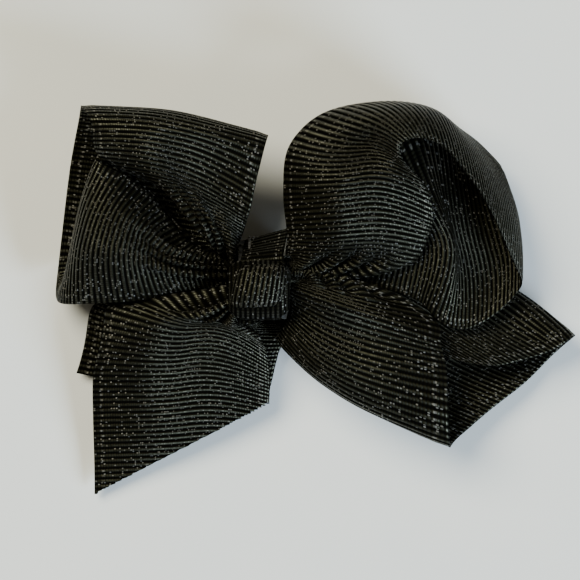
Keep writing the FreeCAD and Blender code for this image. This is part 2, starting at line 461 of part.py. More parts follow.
SHAPES = {
    "left_loop": ribbon_solid(LEFT_LOOP_RIBS),
    "right_loop": ribbon_solid(RIGHT_LOOP_RIBS),
    "lower_loop": ribbon_solid(LOWER_LOOP_RIBS),
    "front_tail": cut_tail(ribbon_solid(FRONT_TAIL_RIBS), FRONT_TAIL_CUT),
    "rear_tail": ribbon_solid(REAR_TAIL_RIBS),
    "gathered_core": gathered_core(),
    "cinch_thread": cinch_thread(),
    "centre_band": centre_band(),
    "centre_knot": centre_knot(),
    "glue_pad": glue_pad(),
    "clip_lining": clip_lining(),
    "upper_jaw": upper_jaw(),
    "lower_jaw": lower_jaw(),
    "hinge_pin": hinge_pin(),
    "spring": spring(),
}

os.makedirs("parts", exist_ok=True)
for name, shape in SHAPES.items():
    print(name, shape.isValid(), round(shape.Volume, 2), shape.BoundBox)
    shape.exportStep("parts/%s.step" % name)
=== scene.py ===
"""Looks of the cheer hair bow: ribbed glitter ribbon, gathered middle and sprung clip.

Ribbon shapes are given as ribs, the lines straight across the ribbon, in millimetres in the
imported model's own frame. Everything handed to Blender is in metres.
"""
import math

import bpy
import numpy as np
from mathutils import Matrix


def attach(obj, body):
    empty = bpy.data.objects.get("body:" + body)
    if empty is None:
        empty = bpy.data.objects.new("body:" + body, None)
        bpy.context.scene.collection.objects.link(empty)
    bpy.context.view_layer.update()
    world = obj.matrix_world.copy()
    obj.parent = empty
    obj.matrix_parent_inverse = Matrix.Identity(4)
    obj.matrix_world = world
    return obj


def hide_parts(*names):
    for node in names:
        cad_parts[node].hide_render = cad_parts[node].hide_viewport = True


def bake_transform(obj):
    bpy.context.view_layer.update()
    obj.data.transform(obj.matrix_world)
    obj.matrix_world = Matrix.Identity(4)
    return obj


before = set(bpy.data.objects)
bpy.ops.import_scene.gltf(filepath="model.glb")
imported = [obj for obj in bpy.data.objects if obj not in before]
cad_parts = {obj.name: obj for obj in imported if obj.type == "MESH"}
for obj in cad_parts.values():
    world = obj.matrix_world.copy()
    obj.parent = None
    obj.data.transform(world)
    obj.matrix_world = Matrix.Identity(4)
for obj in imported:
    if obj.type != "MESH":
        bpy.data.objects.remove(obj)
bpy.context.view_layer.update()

MM = 0.001
TINY = 1e-9

# Ribbon widths and the distance from one rib to the next.
WIDE_RIBBON = 38.0
NARROW_RIBBON = 10.0
RIB_PITCH = 1.13
NARROW_PITCH = 1.05

# How closely a ribbon's surface follows its ribs, and how finely it is divided.
FITTING_PASSES = 3
LENGTH_SAMPLES = 700
SURVEY_COLUMNS = 9
WIDTH_SAMPLES = 41
EXTRA_COLUMNS = 8
CUT_SAMPLES = 80
LEAST_KEPT = 0.01
TUCK = 0.3

# Cross-section of one rib: places along its pitch, and how far the cord stands up there.
RIB_PLACES = np.array([0.0, 0.12, 0.3, 0.5, 0.7, 0.88])
RIB_SHAPE = np.array([0.0, 0.3, 0.8, 1.0, 0.8, 0.3])
RIB_HEIGHT = 0.24
WEB_THICKNESS = 0.16
SIDE_TURN_RELIEF = 0.15

# Selvage: mesh columns along it, where the ribs start, and the thicker outermost strip.
EDGE_COLUMNS = np.array([0, 0.3, 0.6, 0.9, 1.2])
EDGE_MARGIN = 0.9
INNER_MARGIN = EDGE_MARGIN * 1.6
RIB_START = 0.2
SELVAGE_RISE = 0.06
SELVAGE_WIDTH = 0.7

# Pleats where a ribbon is gathered towards the knot.
PLEAT_FOLDS = 4
PLEAT_PHASE = 0.6
PLEAT_WIDTH_SHARE = 0.82
PLEAT_LIMIT = 1.5
PLEAT_REACH = 30.0
PLEAT_FULL_WIDTH = 8.0

# Metal thread: beads along each cord, flecks between them and dots along the selvages.
BEAD_PITCH = 0.38
FLECKS_PER_RIB = 3.0
FLECK_EDGE = 0.55
FLECK_CONTRAST = 3.0
FLECK_STRENGTH = 0.13
EDGE_DOTS = 1.15
EDGE_DOT_REACH = 0.16
EDGE_DOT_CREST = 0.86
EDGE_DOT_CONTRAST = 1.5
EDGE_DOT_STRENGTH = 0.13
CREST_SHARPNESS = 6.0
WIDE_FLECKS = 0.12
KNOT_FLECKS = 0.16
# Painted shade: the narrow ribbon's side turns get fewer flecks and weaker crest shine than its face, so
# they read darker.
SHADED_SIDE_FLECKS = 0.03
THREAD_SHEEN = 0.40
SHADED_SIDE_SHEEN = 0.16
THREAD_GOLD = (0.72, 0.69, 0.58)
THREAD_SILVER = (0.80, 0.82, 0.80)
THREAD_TINT = (0.97, 1.0, 0.72, 1.0)
YARN_BLACK = (0.0012, 0.0012, 0.0010)
YARN_OLIVE = (0.007, 0.0065, 0.0028)
# Painted shade: the ribbon's base colour darkens to this in the grooves between cords and between beads.
GROOVE_SHADE_BLACK = (0.001, 0.001, 0.001)

VIEW_WIDTH = 123.93
VIEW_CENTRE = (6.41, -0.43)
CAMERA_HEIGHT = 0.95
FOCUS_HEIGHT = 0.014
NEAR_CLIP = 0.01

FLOOR_REACH = 1.2
FLOOR_GAP = 0.0002

# Each ribbon is a list of its ribs in order along its length. A rib runs from one selvage to
# the other.
LEFT_LOOP_RIBS = [
    [(-4.8, 8.6, 12.2), (-4.8, 7.4, 13.8), (-4.8, 6.2, 14.8), (-4.8, 5.0, 15.0), (-4.8, 4.0, 14.8)],
    [(-11.0, 11.8, 16.0), (-9.8, 10.6, 18.6), (-8.4, 9.2, 19.2), (-7.0, 7.8, 18.4), (-5.4, 6.6, 16.4)],
    [(-19.0, 19.0, 17.0), (-15.6, 17.4, 21.6), (-12.4, 15.4, 22.0), (-8.6, 13.0, 20.6), (-4.0, 10.0, 17.4)],
    [(-27.0, 24.0, 17.5), (-21.4, 22.6, 23.4), (-16.0, 20.6, 23.4), (-10.0, 17.6, 21.0), (-3.0, 13.6, 18.8)],
    [(-34.2, 28.2, 20.5), (-26.4, 27.2, 25.6), (-18.6, 25.4, 24.0), (-10.4, 22.4, 21.6), (-1.8, 17.4, 21.0)],
    [(-35.2, 32.8, 22.5), (-26.8, 32.6, 26.4), (-17.6, 31.2, 24.4), (-8.8, 28.6, 23.2), (-0.4, 24.4, 21.6)],
    [(-36.4, 36.6, 22.4), (-27.2, 36.2, 24.6), (-17.6, 34.8, 24.4), (-7.8, 32.4, 23.4), (1.0, 30.0, 21.0)],
    [(-38.0, 38.6, 18.0), (-28.0, 38.2, 19.6), (-18.2, 37.4, 20.2), (-8.2, 35.0, 19.6), (1.8, 32.4, 17.0)],
    [(-38.6, 37.0, 12.6), (-28.6, 36.0, 13.2), (-18.6, 34.8, 13.4), (-8.8, 32.8, 13.0), (1.0, 30.2, 12.4)],
    [(-40.6, 28.0, 7.6), (-31.0, 26.6, 7.0), (-21.2, 25.0, 7.0), (-11.4, 23.0, 8.0), (-1.5, 20.6, 9.5)],
    [(-42.2, 17.0, 4.6), (-32.8, 15.6, 4.0), (-23.4, 14.4, 4.2), (-14.0, 12.8, 5.6), (-4.8, 11.0, 8.4)],
    [(-43.4, 7.0, 3.6), (-34.6, 6.4, 2.8), (-26.0, 6.6, 3.4), (-17.2, 7.0, 5.6), (-8.6, 7.8, 8.6)],
    [(-44.0, 1.6, 3.6), (-37.6, 4.4, 3.6), (-31.0, 7.6, 5.6), (-24.0, 10.6, 8.0), (-17.4, 13.4, 10.4)],
    [(-44.0, -1.4, 5.4), (-39.8, 4.8, 6.0), (-35.0, 11.4, 8.0), (-29.8, 17.0, 10.0), (-24.4, 22.0, 12.0)],
    [(-43.0, -3.2, 8.6), (-41.2, 5.4, 10.6), (-39.2, 13.2, 12.8), (-37.0, 20.6, 15.2), (-34.6, 27.4, 17.4)],
    [(-39.6, -3.4, 11.0), (-39.2, 4.6, 15.8), (-37.6, 12.0, 19.2), (-35.2, 19.4, 20.4), (-31.8, 25.6, 18.4)],
    [(-34.0, -3.2, 12.0), (-34.6, 4.2, 18.2), (-33.4, 11.2, 21.4), (-30.8, 17.8, 21.0), (-27.2, 23.2, 16.4)],
    [(-27.6, -2.8, 12.6), (-28.8, 4.0, 19.0), (-28.0, 10.2, 21.6), (-26.0, 15.4, 20.2), (-22.4, 18.8, 13.8)],
    [(-20.6, -1.4, 12.4), (-22.6, 3.2, 17.8), (-22.8, 7.4, 19.6), (-21.4, 10.8, 18.0), (-18.4, 12.8, 12.4)],
    [(-12.5, 0.8, 12.2), (-14.4, 2.6, 16.4), (-15.0, 4.6, 18.0), (-14.2, 6.2, 16.4), (-12.2, 7.2, 11.6)],
    [(-4.8, 1.4, 11.8), (-4.8, 2.6, 13.6), (-4.8, 3.8, 14.2), (-4.8, 5.0, 13.6), (-4.8, 6.2, 12.0)],
]

RIGHT_LOOP_RIBS = [
    [(4.8, 6.2, 14.4), (4.8, 5.8, 14.0), (4.8, 5.4, 13.6), (4.8, 5.0, 13.2), (4.8, 4.6, 12.8)],
    [(4.9, 6.1, 14.5), (8.0, 5.0, 15.4), (12.0, 4.2, 15.8), (15.6, 3.8, 15.2), (18.6, 3.6, 13.8)],
    [(5.0, 6.0, 14.6), (10.0, 5.8, 16.8), (18.0, 6.0, 17.6), (24.8, 5.4, 17.2), (30.8, 4.2, 15.0)],
    [(5.6, 9.0, 15.4), (12.6, 8.8, 20.0), (20.8, 9.2, 21.6), (28.0, 8.8, 20.6), (34.4, 7.5, 17.0)],
    [(5.8, 12.4, 16.2), (13.0, 12.6, 22.2), (21.0, 13.2, 24.2), (29.0, 13.0, 23.2), (36.0, 11.4, 19.0)],
    [(5.2, 17.2, 17.0), (13.0, 17.6, 24.0), (21.0, 18.2, 26.0), (29.0, 17.8, 25.0), (36.8, 14.6, 21.0)],
    [(5.1, 22.4, 18.0), (13.0, 22.2, 25.4), (21.0, 22.8, 27.0), (29.0, 22.3, 27.0), (36.0, 19.4, 23.6)],
    [(5.6, 28.4, 18.0), (13.0, 26.8, 24.0), (21.0, 27.0, 25.6), (27.8, 26.6, 26.8), (33.4, 23.6, 25.6)],
    [(8.2, 33.0, 17.6), (14.2, 31.0, 21.8), (21.2, 30.2, 23.8), (26.8, 29.2, 27.0), (30.4, 26.8, 27.6)],
    [(12.4, 36.6, 17.0), (18.2, 34.6, 22.8), (23.4, 33.0, 25.8), (27.4, 31.4, 28.2), (29.6, 29.8, 28.8)],
    [(18.4, 38.8, 15.4), (21.6, 37.8, 21.8), (25.4, 36.0, 26.4), (28.8, 33.6, 28.8), (31.4, 31.2, 29.2)],
    [(26.4, 39.8, 14.6), (28.8, 39.0, 20.8), (31.2, 37.2, 25.8), (33.4, 34.4, 28.4), (34.8, 31.4, 28.8)],
    [(33.4, 39.2, 13.6), (34.9, 38.4, 19.8), (36.6, 36.0, 25.0), (38.2, 32.6, 27.4), (39.2, 29.2, 27.4)],
    [(38.2, 37.4, 12.6), (39.4, 36.4, 18.8), (40.8, 33.0, 23.4), (42.0, 29.0, 25.4), (42.8, 25.2, 25.6)],
    [(42.2, 34.6, 11.0), (43.4, 32.4, 16.8), (44.8, 28.6, 21.0), (46.0, 24.2, 23.0), (46.9, 19.8, 23.4)],
    [(46.2, 31.8, 9.8), (47.4, 28.4, 14.8), (48.6, 23.8, 18.4), (49.6, 18.8, 20.4), (50.4, 13.4, 20.8)],
    [(49.2, 29.0, 8.8), (51.0, 23.6, 12.8), (52.2, 18.2, 15.6), (53.0, 12.6, 17.2), (53.4, 7.0, 17.4)],
    [(51.6, 26.4, 7.8), (53.6, 20.2, 10.4), (54.9, 14.2, 12.2), (55.5, 8.2, 13.4), (55.6, 2.4, 13.6)],
    [(51.0, 25.6, 6.2), (54.0, 18.6, 6.8), (55.4, 12.2, 7.8), (56.0, 6.0, 9.4), (55.8, 0.2, 11.0)],
    [(47.0, 26.6, 6.0), (50.4, 18.4, 6.2), (52.6, 10.8, 7.0), (53.8, 3.8, 8.8), (53.4, -3.0, 11.4)],
    [(44.0, 31.0, 8.4), (46.6, 18.6, 7.0), (48.8, 8.8, 7.4), (50.2, 1.0, 9.0), (49.8, -6.0, 11.6)],
    [(40.6, 32.6, 11.0), (42.4, 19.4, 9.6), (44.4, 8.8, 9.6), (45.8, -0.2, 10.8), (45.6, -8.4, 12.2)],
    [(36.6, 34.0, 14.0), (38.8, 20.6, 13.0), (41.0, 10.4, 12.8), (42.4, 0.6, 12.8), (41.8, -8.8, 12.6)],
    [(31.8, 33.6, 17.8), (36.6, 20.4, 17.4), (41.0, 11.0, 16.6), (40.8, 1.6, 15.2), (38.0, -7.0, 13.0)],
    [(27.2, 28.4, 19.0), (33.4, 17.6, 18.2), (37.4, 10.4, 16.8), (37.4, 3.2, 15.2), (35.2, -3.8, 12.8)],
    [(22.4, 16.8, 16.6), (27.2, 13.6, 16.0), (30.6, 9.6, 14.8), (31.2, 4.6, 13.6), (30.0, -1.2, 12.2)],
    [(12.0, 9.6, 12.8), (14.0, 7.6, 13.4), (15.4, 5.6, 13.4), (16.0, 3.6, 13.0), (15.6, 1.6, 12.4)],
    [(4.8, 6.4, 11.2), (4.8, 5.0, 12.0), (4.8, 3.6, 12.2), (4.8, 2.2, 12.0), (4.8, 0.8, 11.4)],
]

LOWER_LOOP_RIBS = [
    [(4.8, 1.4, 15.2), (4.8, 2.0, 15.2), (4.8, 2.6, 14.8), (4.8, 3.1, 14.3), (4.8, 3.6, 13.8)],
    [(5.2, 1.6, 15.2), (8.8, 2.4, 15.8), (13.0, 2.4, 15.8), (17.4, 1.8, 15.4), (21.6, 0.8, 14.4)],
    [(6.0, 1.6, 15.0), (10.0, 0.4, 16.4), (17.0, -2.0, 17.4), (26.0, -4.4, 17.0), (37.2, -6.6, 14.6)],
    [(6.0, 0.0, 15.2), (11.6, -2.2, 17.6), (19.4, -4.8, 18.8), (28.0, -7.4, 18.4), (38.4, -10.8, 16.0)],
    [(6.2, -2.6, 14.0), (11.0, -5.6, 15.4), (18.4, -9.0, 16.8), (28.0, -11.8, 17.6), (39.4, -14.6, 16.2)],
    [(6.0, -5.4, 13.4), (10.6, -9.8, 15.8), (17.8, -13.8, 17.6), (27.6, -17.0, 18.0), (40.0, -19.6, 16.4)],
    [(5.0, -8.4, 12.4), (9.6, -13.6, 15.2), (16.8, -18.6, 17.2), (27.0, -23.0, 17.6), (40.2, -27.0, 16.2)],
    [(3.8, -11.2, 10.2), (8.8, -16.6, 12.2), (16.6, -22.4, 13.8), (27.0, -28.0, 14.2), (40.6, -33.6, 13.0)],
    [(4.6, -11.0, 7.4), (10.6, -16.4, 7.8), (18.6, -21.8, 8.0), (28.8, -27.2, 8.4), (41.6, -33.0, 9.2)],
    [(9.6, -9.8, 5.8), (16.6, -14.8, 5.6), (25.0, -20.2, 5.6), (34.6, -25.4, 6.0), (45.2, -30.0, 7.0)],
    [(17.4, -7.2, 4.4), (24.4, -12.0, 4.2), (32.2, -16.8, 4.2), (40.8, -21.4, 4.6), (50.4, -25.6, 5.6)],
    [(24.0, -2.2, 3.0), (31.8, -7.0, 2.8), (39.8, -11.8, 2.8), (48.4, -16.6, 3.4), (57.4, -20.2, 4.6)],
    [(29.6, 5.2, 2.0), (38.2, -0.4, 1.8), (46.4, -5.6, 1.8), (55.0, -10.6, 2.4), (63.0, -14.6, 3.6)],
    [(36.2, 10.0, 2.0), (44.8, 4.8, 1.8), (53.0, -0.4, 2.2), (60.8, -5.2, 3.4), (67.8, -10.4, 5.4)],
    [(35.6, 8.0, 4.4), (43.6, 4.0, 4.6), (51.4, 0.0, 5.4), (59.0, -5.0, 7.0), (66.0, -11.4, 8.4)],
    [(31.6, 3.4, 5.6), (39.6, -0.2, 5.6), (46.8, -4.6, 6.8), (53.8, -9.4, 8.0), (62.0, -13.8, 8.6)],
    [(24.0, 1.4, 9.6), (31.2, -2.0, 8.8), (38.4, -6.4, 9.0), (45.4, -11.4, 10.4), (53.0, -16.0, 10.2)],
    [(14.0, 0.2, 11.2), (17.6, -2.6, 11.8), (22.6, -6.0, 11.8), (28.6, -9.8, 11.8), (36.0, -14.0, 11.8)],
    [(4.8, -0.2, 11.6), (4.8, -1.2, 12.4), (4.8, -2.2, 12.6), (4.8, -3.2, 12.4), (4.8, -4.2, 11.6)],
]

FRONT_TAIL_RIBS = [
    [(-4.8, 0.2, 15.0), (-4.8, -1.6, 16.6), (-4.8, -3.4, 17.0), (-4.8, -5.2, 16.4), (-4.8, -7.2, 14.2)],
    [(-15.4, -1.8, 12.8), (-12.4, -4.2, 16.6), (-8.6, -5.8, 15.2), (-5.4, -7.2, 16.0), (-1.6, -9.8, 13.2)],
    [(-31.2, -3.0, 9.2), (-22.8, -5.8, 15.0), (-14.4, -8.0, 13.4), (-5.6, -8.8, 14.4), (1.2, -13.2, 10.6)],
    [(-33.4, -8.6, 9.6), (-25.0, -10.2, 13.4), (-16.0, -11.4, 12.2), (-6.2, -11.4, 13.0), (1.8, -16.2, 9.4)],
    [(-35.6, -16.6, 7.6), (-26.8, -16.8, 10.4), (-17.2, -17.0, 9.8), (-7.4, -16.8, 10.4), (2.1, -20.4, 7.4)],
    [(-36.1, -24.0, 5.4), (-26.8, -23.8, 7.6), (-17.2, -23.4, 7.4), (-7.4, -23.0, 7.6), (1.9, -25.2, 5.4)],
    [(-36.0, -33.0, 3.6), (-26.8, -32.6, 5.0), (-17.2, -32.2, 5.2), (-7.4, -31.8, 4.8), (2.0, -33.0, 3.8)],
    [(-35.9, -39.6, 2.4), (-26.8, -39.2, 3.0), (-17.2, -38.8, 3.2), (-7.4, -38.4, 3.0), (2.0, -39.2, 2.6)],
    [(-35.9, -44.6, 2.0), (-26.8, -44.2, 2.2), (-17.2, -43.8, 2.2), (-7.4, -43.4, 2.2), (2.0, -44.0, 2.2)],
]
FRONT_TAIL_CUT = ((-36.0, -44.4), (1.6, -25.2))

REAR_TAIL_RIBS = [
    [(-4.8, -1.0, 9.6), (-4.8, -2.6, 9.8), (-4.8, -4.2, 9.8), (-4.8, -5.8, 9.6), (-4.8, -7.4, 9.2)],
    [(-20.0, -2.2, 8.2), (-14.4, -4.4, 8.4), (-8.0, -6.8, 8.4), (-0.6, -7.5, 8.0), (6.6, -6.5, 7.0)],
    [(-35.8, -3.2, 5.6), (-26.6, -6.2, 6.6), (-17.0, -9.0, 6.8), (-6.6, -11.2, 6.6), (4.6, -12.0, 5.8)],
    [(-37.6, -10.8, 3.8), (-28.0, -13.6, 4.6), (-18.0, -16.2, 4.8), (-7.6, -18.0, 4.4), (3.2, -17.4, 4.0)],
    [(-39.8, -18.4, 2.0), (-30.0, -20.4, 2.6), (-20.0, -22.2, 2.8), (-10.0, -23.8, 2.6), (1.4, -24.4, 2.2)],
]

# The narrow ribbon: the knot's inner turn, its outer turn, and the band round the middle. The
# inner turn is one arc (y, z), set at stations along X and drawn in at the two ends.
KNOT_INNER_STATIONS = [
    (-6.0, 0.55), (-5.7, 0.88), (-4.2, 1.0), (-1.4, 1.03),
    (1.4, 1.03), (3.8, 1.0), (5.3, 0.88), (5.6, 0.55),
]
KNOT_INNER_ARC = [
    (5.0, -4.6), (5.7, -1.6), (5.0, 2.0), (2.6, 4.0), (0.0, 4.4),
    (-2.8, 4.0), (-5.6, 2.0), (-6.2, -1.6), (-5.4, -4.6),
]
KNOT_INNER_CENTRE = -0.2
KNOT_INNER_Z = 18.4
KNOT_OUTER_RIBS = [
    [(-4.2, 3.8, 15.0), (-4.4, 2.5, 15.0), (-4.8, 0.4, 15.0), (-5.2, -2.0, 15.0), (-5.4, -3.5, 15.0)],
    [(-4.8, 4.0, 19.1), (-5.2, 2.8, 19.7), (-5.8, 0.4, 19.9), (-6.2, -2.4, 19.5), (-6.2, -3.7, 18.7)],
    [(-3.9, 4.5, 21.9), (-4.3, 3.2, 23.1), (-5.0, 0.4, 23.5), (-5.6, -2.6, 22.7), (-5.6, -4.0, 21.3)],
    [(-2.2, 4.8, 23.1), (-2.6, 3.4, 24.5), (-3.2, 0.4, 24.9), (-3.9, -2.6, 24.1), (-4.1, -4.1, 22.5)],
    [(0.9, 4.9, 23.5), (0.5, 3.6, 24.8), (0.0, 0.6, 25.3), (-0.7, -2.6, 24.5), (-0.9, -4.0, 22.9)],
    [(3.7, 4.8, 22.9), (3.5, 3.6, 24.2), (3.1, 0.8, 24.7), (2.6, -2.3, 23.9), (2.3, -3.8, 22.5)],
    [(5.5, 4.5, 21.1), (5.5, 3.4, 22.3), (5.3, 0.8, 22.7), (4.9, -1.9, 22.1), (4.5, -3.3, 20.9)],
    [(6.0, 4.1, 18.3), (6.1, 3.0, 18.9), (6.0, 0.8, 19.1), (5.7, -1.7, 18.7), (5.4, -3.0, 18.1)],
    [(5.0, 3.6, 15.0), (5.1, 2.8, 15.0), (5.1, 0.8, 15.0), (5.0, -1.5, 15.0), (4.9, -2.8, 15.0)],
]
BAND_PATH = [
    (2.0, 19.3), (6.4, 18.9), (9.2, 15.9), (11.7, 13.0), (12.1, 10.4), (8.8, 6.4), (5.2, 3.9),
    (-4.8, 3.9), (-6.3, 6.6), (-6.6, 12.0), (-6.6, 16.6), (-4.4, 19.0), (0.0, 19.4), (2.4, 19.1),
]
BAND_ENDS = (-4.5, 4.6)
BAND_RIB_POINTS = 5
BAND_LEAN_START = 4.0
BAND_LEAN_RUN = 8.0
BAND_SKEW = 0.27
BAND_SHIFT = 0.16


def spline_knots(count):
    """Knots of a clamped cubic spline with this many poles."""
    spans = count - 3
    return np.concatenate([[0] * 3, np.arange(spans + 1), [spans] * 3]).astype(float)


def spline_weights(count, places):
    """Weights of a clamped cubic spline's poles, one row for each place from 0 to 1."""
    spans = count - 3
    knots = spline_knots(count)
    t = np.clip(np.asarray(places) * spans, 0, spans - TINY)
    weights = ((t[:, None] >= knots[:-1]) & (t[:, None] < knots[1:])).astype(float)
    for degree in (1, 2, 3):
        raised = np.zeros((len(t), weights.shape[1] - 1))
        for pole in range(weights.shape[1] - 1):
            left = knots[pole + degree] - knots[pole]
            right = knots[pole + degree + 1] - knots[pole + 1]
            if left > 0:
                raised[:, pole] += (t - knots[pole]) / left * weights[:, pole]
            if right > 0:
                raised[:, pole] += (knots[pole + degree + 1] - t) / right * weights[:, pole + 1]
        weights = raised
    return weights


def pull_places(count):
    """Where along a clamped cubic spline each pole pulls hardest, from 0 to 1."""
    knots = spline_knots(count)
    return np.array([knots[pole + 1:pole + 4].mean() for pole in range(count)]) / (count - 3)


def fitted_poles(points):
    """Poles of a smooth surface that passes close by a grid of points, without overshoot."""
    along = spline_weights(points.shape[0], pull_places(points.shape[0]))
    across = spline_weights(points.shape[1], pull_places(points.shape[1]))
    poles = points.copy()
    for _ in range(FITTING_PASSES):
        poles += points - np.einsum("ui,ijk,vj->uvk", along, poles, across)
    return poles


def surface_points(poles, along, across):
    """Points of the surface at places along and across the ribbon, each from 0 to 1."""
    u_weights = spline_weights(poles.shape[0], along)
    v_weights = spline_weights(poles.shape[1], across)
    return np.einsum("ui,ijk,vj->uvk", u_weights, poles, v_weights)


def unit(vectors):
    """Vectors scaled to a length of 1."""
    return vectors / np.maximum(np.linalg.norm(vectors, axis=-1, keepdims=True), TINY)


def grid_normals(points):
    """Unit normals of a grid of points."""
    return unit(np.cross(np.gradient(points, axis=0), np.gradient(points, axis=1)))


def grid_area(points):
    """Area of a grid of points."""
    lengthways = points[1:, :-1] - points[:-1, :-1]
    crossways = points[:-1, 1:] - points[:-1, :-1]
    return np.linalg.norm(np.cross(lengthways, crossways), axis=2).sum()


def tucked(rib):
    """The end rib of a ribbon, run on into the gathered middle."""
    return [(x * TUCK, y, z) for x, y, z in rib]


def ribbon_rows(poles, pitch):
    """Mesh rows along a ribbon: rib numbers, cord heights, places from 0 to 1, and distances run."""
    places = np.linspace(0, 1, LENGTH_SAMPLES)
    survey = surface_points(poles, places, np.linspace(0, 1, SURVEY_COLUMNS))
    steps = np.linalg.norm(np.diff(survey, axis=0), axis=2).mean(axis=1)
    travelled = np.concatenate([[0], np.cumsum(steps)])
    rib_count = int(round(travelled[-1] / pitch))
    rib_numbers = (np.arange(rib_count)[:, None] + RIB_PLACES[None, :]).ravel()
    rib_numbers = np.append(rib_numbers, rib_count)
    heights = np.append(np.tile(RIB_SHAPE, rib_count), 0)
    along = np.interp(rib_numbers / rib_count * travelled[-1], travelled, places)
    return rib_numbers, heights, along, np.interp(along, places, travelled)


def kept_shares(poles, along, cut):
    """Where each row meets a slanting scissor cut, as a share of the ribbon's width."""
    if cut is None:
        return np.ones(len(along))
    start, end = np.array(cut[0]), np.array(cut[1])
    direction = end - start
    places = np.linspace(0, 1, CUT_SAMPLES)
    plan = surface_points(poles, along, places)[:, :, :2] - start
    side = direction[0] * plan[:, :, 1] - direction[1] * plan[:, :, 0]
    kept = np.cumprod(side > 0, axis=1).sum(axis=1)
    return np.clip(kept / CUT_SAMPLES, LEAST_KEPT, 1.0)


def ribbon_columns(width, kept):
    """Mesh columns of every row, in millimetres from the first selvage, drawn in to the cut."""
    inner_count = int(WIDTH_SAMPLES * width / WIDE_RIBBON) + EXTRA_COLUMNS
    inner = np.linspace(INNER_MARGIN, width - INNER_MARGIN, inner_count)
    columns = np.concatenate([EDGE_COLUMNS, inner, width - EDGE_COLUMNS[::-1]])
    return columns[None, :] * kept[:, None]


def middle_surface(poles, along, across, width):
    """The ribbon's middle surface at its mesh rows and columns."""
    row_poles = np.einsum("ui,ijk->ujk", spline_weights(poles.shape[0], along), poles)
    weights = spline_weights(poles.shape[1], across.ravel() / width)
    return np.einsum("rcj,rjk->rck", weights.reshape(across.shape + (-1,)), row_poles)


def pleated(middle, across, width, kept, from_knot):
    """The surface with the pleats that take up its spare width where it is gathered."""
    lengths = np.linalg.norm(np.diff(middle, axis=1), axis=2).sum(axis=1)
    slack = np.sqrt(np.clip((PLEAT_WIDTH_SHARE * width) ** 2 - (lengths / kept) ** 2, 0, None))
    settle = np.clip((PLEAT_REACH - from_knot) / PLEAT_REACH * 2, 0, 1)
    depth = np.minimum(slack / (4 * PLEAT_FOLDS), PLEAT_LIMIT) * settle
    wave = np.sin(2 * math.pi * PLEAT_FOLDS * across / width + PLEAT_PHASE)
    wave = wave * np.clip(lengths / PLEAT_FULL_WIDTH, 0, 1)[:, None]
    return middle + grid_normals(middle) * (depth[:, None] * wave)[:, :, None]


def face_lift(across, width, heights, relief):
    """How far each face stands off the middle surface: web, cords and thicker selvages."""
    from_edge = np.minimum(across, width - across)
    fade = np.clip((from_edge - RIB_START) / EDGE_MARGIN, 0.0, 1.0)
    cords = WEB_THICKNESS / 2 + relief * RIB_HEIGHT * heights[:, None] * fade
    return cords + SELVAGE_RISE * np.clip(1 - from_edge / SELVAGE_WIDTH, 0, 1)


def quads(index, flip):
    """Quads over a grid of vertex numbers."""
    corners = [index[:-1, :-1], index[:-1, 1:], index[1:, 1:], index[1:, :-1]]
    if not flip:
        corners = corners[::-1]
    return np.stack(corners, axis=-1).reshape(-1, 4)


def border(front, back):
    """Quads that close the four edges between the front and the back grid."""
    loop = np.concatenate([front[0, :-1], front[:-1, -1], front[-1, :0:-1], front[:0:-1, 0]])
    under = np.concatenate([back[0, :-1], back[:-1, -1], back[-1, :0:-1], back[:0:-1, 0]])
    return np.stack([loop, np.roll(loop, -1), np.roll(under, -1), under], axis=-1)


def closed_mesh(name, front, back, weave):
    """A closed mesh from the grids of its two faces, with its weave coordinates as UVs."""
    vertices = np.concatenate([front.reshape(-1, 3), back.reshape(-1, 3)]) * MM
    index = np.arange(front[:, :, 0].size).reshape(front.shape[:2])
    under = index + index.size
    faces = np.concatenate([quads(index, False), quads(under, True), border(index, under)])
    mesh = bpy.data.meshes.new(name)
    mesh.vertices.add(len(vertices))
    mesh.vertices.foreach_set("co", vertices.ravel())
    mesh.loops.add(faces.size)
    mesh.loops.foreach_set("vertex_index", faces.ravel())
    mesh.polygons.add(len(faces))
    mesh.polygons.foreach_set("loop_start", np.arange(0, faces.size, 4))
    mesh.polygons.foreach_set("use_smooth", np.ones(len(faces), dtype=bool))
    layer = mesh.uv_layers.new(name="weave")
    both_faces = np.concatenate([weave.reshape(-1, 2)] * 2)
    layer.data.foreach_set("uv", both_faces[faces.ravel()].ravel())
    mesh.update(calc_edges=True)
    mesh.validate()
    return mesh


def ribbon_mesh(name, ribs, material, width=WIDE_RIBBON, pitch=RIB_PITCH, gathered=True, cut=None,
                loop=True, relief=1.0):
    """A ribbon with a real cord for each rib on both faces: (object, length, area), in metres."""
    end = [tucked(ribs[-1])] if loop else []
    poles = fitted_poles(np.array([tucked(ribs[0])] + ribs + end))
    rib_numbers, heights, along, distances = ribbon_rows(poles, pitch)
    kept = kept_shares(poles, along, cut)
    across = ribbon_columns(width, kept)
    middle = middle_surface(poles, along, across, width)
    if gathered:
        # A ribbon with no slanting cut is drawn in towards both its ends.
        from_knot = distances if cut else np.minimum(distances, distances[-1] - distances)
        middle = pleated(middle, across, width, kept, from_knot)
    offset = grid_normals(middle) * face_lift(across, width, heights, relief)[:, :, None]
    weave = np.stack(np.broadcast_arrays(across, rib_numbers[:, None]), axis=-1)
    mesh = closed_mesh(name, middle + offset, middle - offset, weave)
    mesh.materials.append(material)
    ribbon = bpy.data.objects.new(name, mesh)
    bpy.context.scene.collection.objects.link(ribbon)
    return ribbon, distances[-1] * MM, grid_area(middle) * MM * MM


